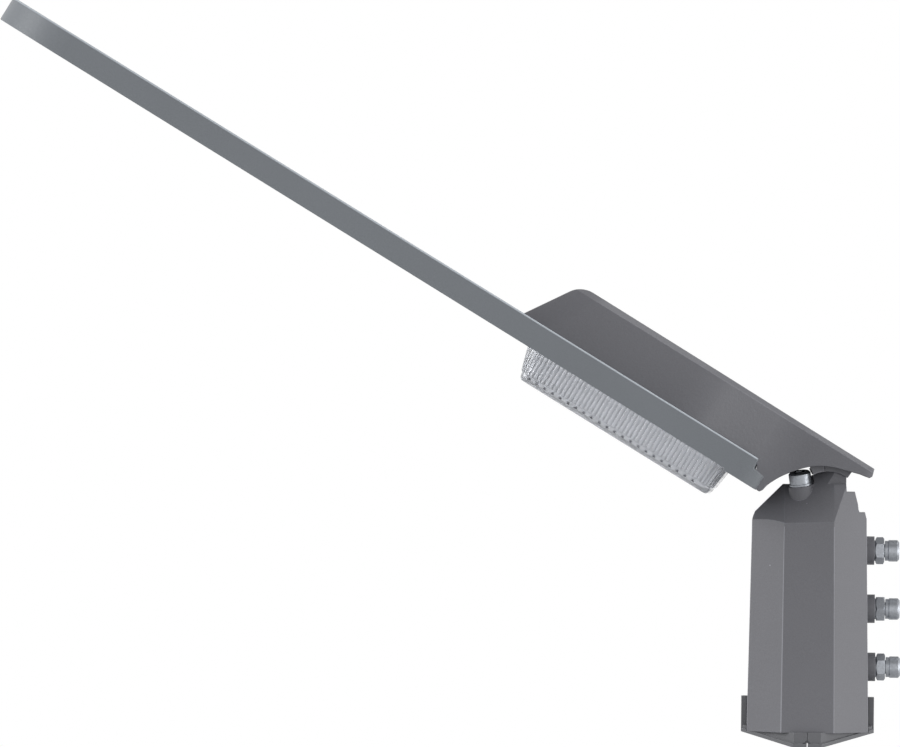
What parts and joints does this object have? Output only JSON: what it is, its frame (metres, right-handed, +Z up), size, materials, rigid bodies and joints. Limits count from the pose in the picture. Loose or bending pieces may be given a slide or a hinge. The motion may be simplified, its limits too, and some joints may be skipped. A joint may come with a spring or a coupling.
{
  "type": "led_street_lantern",
  "caption": "Flat LED street lantern: long plate canopy, ribbed clear lens, gear housing with arm, hinged on an octagonal post-top spigot.",
  "frame": {"origin": "centre of the pole socket's mouth at the foot of the spigot", "axes": "+X away from the canopy along the arm, +Y across the head, +Z up the pole"},
  "size_m": [0.6662, 0.3, 0.5452],
  "materials": {
    "powder_grey": "satin grey powder coat on cast and sheet aluminium",
    "collar_grey": "moulded trim ring in the same grey",
    "zinc": "bright zinc plated steel",
    "seal_rubber": "black silicone and polyamide",
    "clear_lens": "clear moulded polycarbonate",
    "bare_aluminium": "bare rolled sheet and plate",
    "board_white": "white solder mask with yellow packages",
    "gear_case": "light grey moulded cases"
  },
  "bodies": {
    "spigot": {"spigot_casting": "powder_grey", "base_collar": "collar_grey", "clamp_screw_1": "zinc", "clamp_screw_2": "zinc", "clamp_screw_3": "zinc", "lock_nut_1": "zinc", "lock_nut_2": "zinc", "lock_nut_3": "zinc", "tilt_screws": "zinc", "tilt_washers": "zinc"},
    "head": {"arm_housing": "powder_grey", "canopy_plate": "powder_grey", "housing_gasket": "seal_rubber", "tilt_saddle": "powder_grey", "saddle_screws": "zinc", "ribbed_lens": "clear_lens", "lens_gasket": "seal_rubber", "lens_screws": "zinc", "housing_screws": "zinc", "gear_tray": "bare_aluminium", "heat_spreader": "bare_aluminium", "led_board": "board_white", "optic_plate": "clear_lens", "led_driver": "gear_case", "surge_protector": "gear_case", "terminal_block": "gear_case", "gear_screws": "zinc", "cable_gland": "seal_rubber"}
  },
  "joints": [
    {"name": "head_tilt", "type": "hinge", "parent": "spigot", "child": "head", "pos_m": [0.0138, 0, 0.1688], "axis": [0, 1, 0], "range_deg": [-10, 10]}
  ]
}
